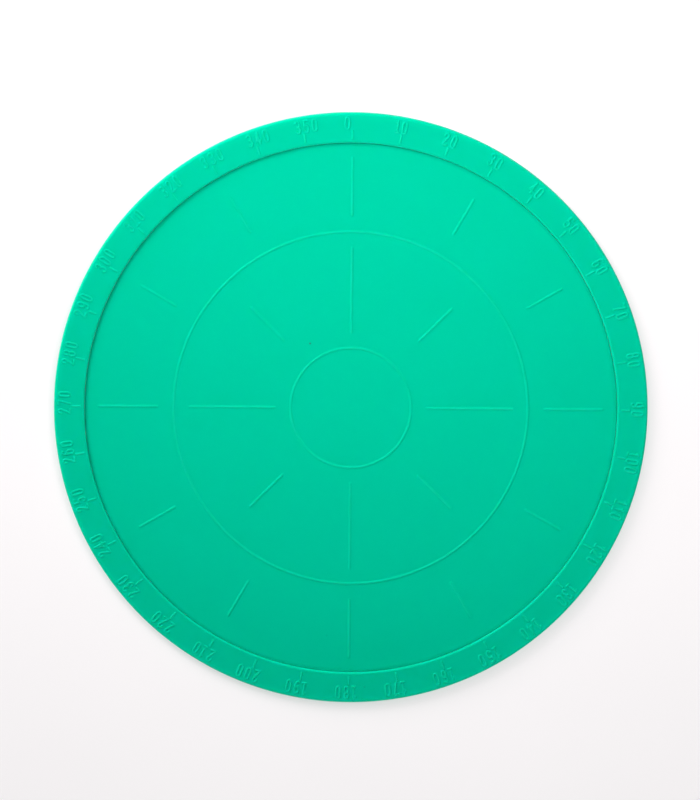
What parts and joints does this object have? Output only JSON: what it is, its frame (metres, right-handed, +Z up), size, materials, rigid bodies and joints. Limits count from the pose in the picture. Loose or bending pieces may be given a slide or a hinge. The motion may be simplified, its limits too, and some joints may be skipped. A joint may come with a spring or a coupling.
{
  "type": "self healing mat",
  "caption": "Round soft work mat with a raised rim carrying a 0 to 350 degree scale and a recessed cutting field marked with raised rings and radial bars.",
  "frame": {"origin": "centre of the underside, at the middle of the round plan", "axes": "+Z up out of the cutting field, +Y towards the 0 degree mark, +X towards the 90 degree mark, so the scale runs clockwise seen from above"},
  "size_m": [0.3, 0.3, 0.0045],
  "materials": {
    "moulded_face": "smooth matt teal green elastomer, slightly translucent",
    "cushion": "soft matt darker teal ply",
    "core": "hard satin off-white sheet",
    "base": "matt fine-grained teal green, grips the table"
  },
  "bodies": {
    "root": {"rim_ring": "moulded_face", "cutting_face": "moulded_face", "upper_cushion_ply": "cushion", "stiff_core_ply": "core", "lower_cushion_ply": "cushion", "base_face": "base"}
  },
  "joints": []
}
